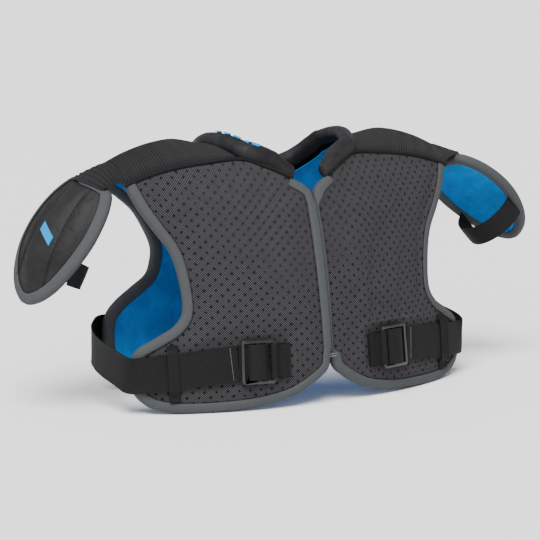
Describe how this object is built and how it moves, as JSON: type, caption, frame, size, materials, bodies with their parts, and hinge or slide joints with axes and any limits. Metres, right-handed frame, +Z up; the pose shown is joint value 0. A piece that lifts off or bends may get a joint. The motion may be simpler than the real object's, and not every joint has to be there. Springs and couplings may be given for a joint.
{
  "type": "hockey shoulder pads",
  "caption": "Soft padded vest for hockey with a ribbed yoke over each shoulder, hanging arm caps with elastic loops, and elastic side straps in sewn sliders.",
  "frame": {"origin": "middle of the object's box at the level of the lower hems it stands on", "axes": "+Z up, -Y the wearer's front, -X the wearer's right"},
  "size_m": [0.6468, 0.2002, 0.2875],
  "materials": {
    "knit": "perforated warp knit, matt",
    "binding_tape": "woven grosgrain tape",
    "black_webbing": "woven elastic webbing",
    "ribbed_knit": "ribbed knit",
    "collar_fabric": "smooth satin knit",
    "cap_nylon": "matt coated nylon",
    "blue_lining": "brushed tricot",
    "foam": "closed-cell padding foam",
    "slider_plastic": "moulded acetal",
    "printed_mark": "raised screen print",
    "stitching": "sewing thread"
  },
  "bodies": {
    "back": {"back_cover": "knit", "back_foam": "foam", "back_lining": "blue_lining", "back_binding": "binding_tape", "back_collar": "collar_fabric", "right_yoke_band": "ribbed_knit", "right_yoke_foam": "foam", "right_yoke_lining": "blue_lining", "right_link_inner": "ribbed_knit", "right_strap_rear": "black_webbing", "left_yoke_band": "ribbed_knit", "left_yoke_foam": "foam", "left_yoke_lining": "blue_lining", "left_link_inner": "ribbed_knit", "left_strap_rear": "black_webbing"},
    "chest": {"seam_tack": "stitching", "right_chest_cover": "knit", "right_chest_foam": "foam", "right_chest_lining": "blue_lining", "right_chest_binding": "binding_tape", "right_collar_front": "collar_fabric", "right_strap_front": "black_webbing", "right_strap_keeper": "black_webbing", "right_slider_tab": "black_webbing", "left_chest_cover": "knit", "left_chest_foam": "foam", "left_chest_lining": "blue_lining", "left_chest_binding": "binding_tape", "left_collar_front": "collar_fabric", "left_strap_front": "black_webbing", "left_strap_keeper": "black_webbing", "left_slider_tab": "black_webbing"},
    "right_slider": {"right_slider": "slider_plastic", "right_strap_fold": "black_webbing"},
    "right_cap": {"right_link_outer": "ribbed_knit", "right_cap_cover": "cap_nylon", "right_cap_foam": "foam", "right_cap_lining": "blue_lining", "right_cap_binding": "binding_tape", "right_cap_mark": "printed_mark"},
    "right_loop": {"right_arm_loop": "black_webbing"},
    "left_slider": {"left_slider": "slider_plastic", "left_strap_fold": "black_webbing"},
    "left_cap": {"left_link_outer": "ribbed_knit", "left_cap_cover": "cap_nylon", "left_cap_foam": "foam", "left_cap_lining": "blue_lining", "left_cap_binding": "binding_tape", "left_cap_mark": "printed_mark"},
    "left_loop": {"left_arm_loop": "black_webbing"}
  },
  "joints": [
    {"name": "chest_lift", "type": "hinge", "parent": "back", "child": "chest", "pos_m": [-0.01476, -0.02612, 0.262], "axis": [-1, 0, 0], "range_deg": [0, 15], "stiffness_Nm_per_rad": 6},
    {"name": "right_cap_lift", "type": "hinge", "parent": "back", "child": "right_cap", "pos_m": [-0.23303, 0.02257, 0.25776], "axis": [0, 1, 0], "range_deg": [-8, 60], "stiffness_Nm_per_rad": 0.5},
    {"name": "left_cap_lift", "type": "hinge", "parent": "back", "child": "left_cap", "pos_m": [0.20366, 0.02257, 0.25903], "axis": [0, -1, 0], "range_deg": [-8, 45], "stiffness_Nm_per_rad": 0.5},
    {"name": "right_loop_swing", "type": "hinge", "parent": "right_cap", "child": "right_loop", "pos_m": [-0.28797, 0.02625, 0.15682], "axis": [0.2802, -0.9397, -0.1962], "range_deg": [-12, 4], "stiffness_Nm_per_rad": 0.03},
    {"name": "left_loop_swing", "type": "hinge", "parent": "left_cap", "child": "left_loop", "pos_m": [0.27969, 0.01769, 0.17279], "axis": [0.2918, -0.891, 0.3478], "range_deg": [-4, 12], "stiffness_Nm_per_rad": 0.03},
    {"name": "right_slider_tilt", "type": "hinge", "parent": "chest", "child": "right_slider", "pos_m": [-0.08438, -0.09244, 0.05257], "axis": [0.024, 0.1039, 0.9943], "range_deg": [0, 20], "stiffness_Nm_per_rad": 0.03},
    {"name": "left_slider_tilt", "type": "hinge", "parent": "chest", "child": "left_slider", "pos_m": [0.05486, -0.09244, 0.05257], "axis": [0.024, -0.1039, -0.9943], "range_deg": [0, 20], "stiffness_Nm_per_rad": 0.03}
  ]
}
